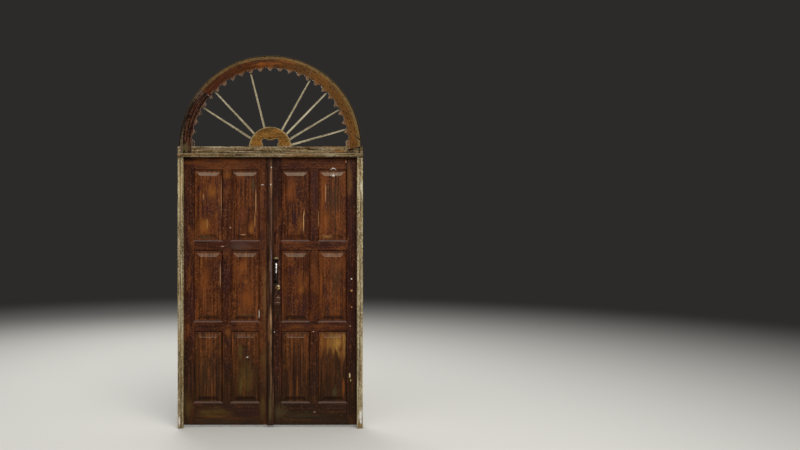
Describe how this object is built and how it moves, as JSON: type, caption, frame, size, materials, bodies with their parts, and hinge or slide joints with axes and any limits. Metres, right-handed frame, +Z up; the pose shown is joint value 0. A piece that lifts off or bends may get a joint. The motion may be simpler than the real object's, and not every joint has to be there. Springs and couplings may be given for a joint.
{
  "type": "arched double door with fanlight",
  "caption": "Arched timber double door in a rebated frame: raised panels, a scalloped fretwork fanlight with a sunburst of sticks, a bow handle, a rim lock and surface bolts.",
  "frame": {"origin": "on the threshold under the jambs, midway between them and midway through their depth", "axes": "+X to the right seen from outside, +Y inwards, the way the leaves open, +Z up"},
  "size_m": [1.515, 0.1448, 3.0545],
  "materials": {
    "leaf_wood": "old varnish, worn",
    "panel_wood": "old varnish, worn",
    "strip_wood": "old varnish, worn",
    "frame_wood": "weathered, bare",
    "fretwork_wood": "weathered varnish",
    "hub_wood": "weathered varnish",
    "stick_wood": "bare",
    "hinge_steel": "dull, aged",
    "handle_metal": "dark, polished by use",
    "lock_brass": "tarnished",
    "lock_steel": "dark paint",
    "bolt_steel": "dull, aged"
  },
  "bodies": {
    "frame": {"left_jamb": "frame_wood", "right_jamb": "frame_wood", "transom": "frame_wood", "arch_left": "frame_wood", "arch_right": "frame_wood", "fretwork_left": "fretwork_wood", "fretwork_crown": "fretwork_wood", "fretwork_right": "fretwork_wood", "sunburst_hub": "hub_wood", "sunburst_stick_1": "stick_wood", "sunburst_stick_2": "stick_wood", "sunburst_stick_3": "stick_wood", "sunburst_stick_4": "stick_wood", "sunburst_stick_5": "stick_wood", "sunburst_stick_6": "stick_wood", "sunburst_stick_7": "stick_wood", "frame_hinge_plates": "hinge_steel"},
    "left_leaf": {"left_hinge_stile": "leaf_wood", "left_meeting_stile": "leaf_wood", "left_bottom_rail": "leaf_wood", "left_mid_rail_1": "leaf_wood", "left_mid_rail_2": "leaf_wood", "left_top_rail": "leaf_wood", "left_muntin_1": "leaf_wood", "left_muntin_2": "leaf_wood", "left_muntin_3": "leaf_wood", "left_panel_1": "panel_wood", "left_panel_2": "panel_wood", "left_panel_3": "panel_wood", "left_panel_4": "panel_wood", "left_panel_5": "panel_wood", "left_panel_6": "panel_wood", "left_hinge_plates": "hinge_steel", "cover_strip": "strip_wood", "lock_keeper": "lock_steel", "bolt_guides": "bolt_steel"},
    "right_leaf": {"right_hinge_stile": "leaf_wood", "right_meeting_stile": "leaf_wood", "right_bottom_rail": "leaf_wood", "right_mid_rail_1": "leaf_wood", "right_mid_rail_2": "leaf_wood", "right_top_rail": "leaf_wood", "right_muntin_1": "leaf_wood", "right_muntin_2": "leaf_wood", "right_muntin_3": "leaf_wood", "right_panel_1": "panel_wood", "right_panel_2": "panel_wood", "right_panel_3": "panel_wood", "right_panel_4": "panel_wood", "right_panel_5": "panel_wood", "right_panel_6": "panel_wood", "right_hinge_plates": "hinge_steel", "handle_plate": "handle_metal", "handle_grip": "handle_metal", "lock_cylinder": "lock_brass", "lock_case": "lock_steel"},
    "deadbolt": {"deadbolt": "bolt_steel"},
    "cylinder_plug": {"cylinder_plug": "lock_brass"},
    "head_bolt": {"head_bolt": "bolt_steel"},
    "foot_bolt": {"foot_bolt": "bolt_steel"}
  },
  "joints": [
    {"name": "right_leaf_swing", "type": "hinge", "parent": "frame", "child": "right_leaf", "pos_m": [0.726, 0.0518, 0], "axis": [0, 0, -1], "range_deg": [0, 100]},
    {"name": "left_leaf_swing", "type": "hinge", "parent": "frame", "child": "left_leaf", "pos_m": [-0.726, 0.0518, 0], "axis": [0, 0, 1], "range_deg": [0, 90]},
    {"name": "deadbolt_slide", "type": "slide", "parent": "right_leaf", "child": "deadbolt", "axis": [-1, 0, 0], "range_m": [0, 0.02]},
    {"name": "plug_turn", "type": "hinge", "parent": "right_leaf", "child": "cylinder_plug", "pos_m": [0.061, 0, 1.154], "axis": [0, -1, 0], "range_deg": [0, 360]},
    {"name": "head_bolt_slide", "type": "slide", "parent": "left_leaf", "child": "head_bolt", "axis": [0, 0, 1], "range_m": [0, 0.034]},
    {"name": "foot_bolt_slide", "type": "slide", "parent": "left_leaf", "child": "foot_bolt", "axis": [0, 0, -1], "range_m": [0, 0.034]}
  ],
  "couplings": [
    {"joint": "left_leaf_swing", "follows": "right_leaf_swing", "ratio": 0.9},
    {"joint": "plug_turn", "follows": "deadbolt_slide", "rad_per_m": 314}
  ]
}
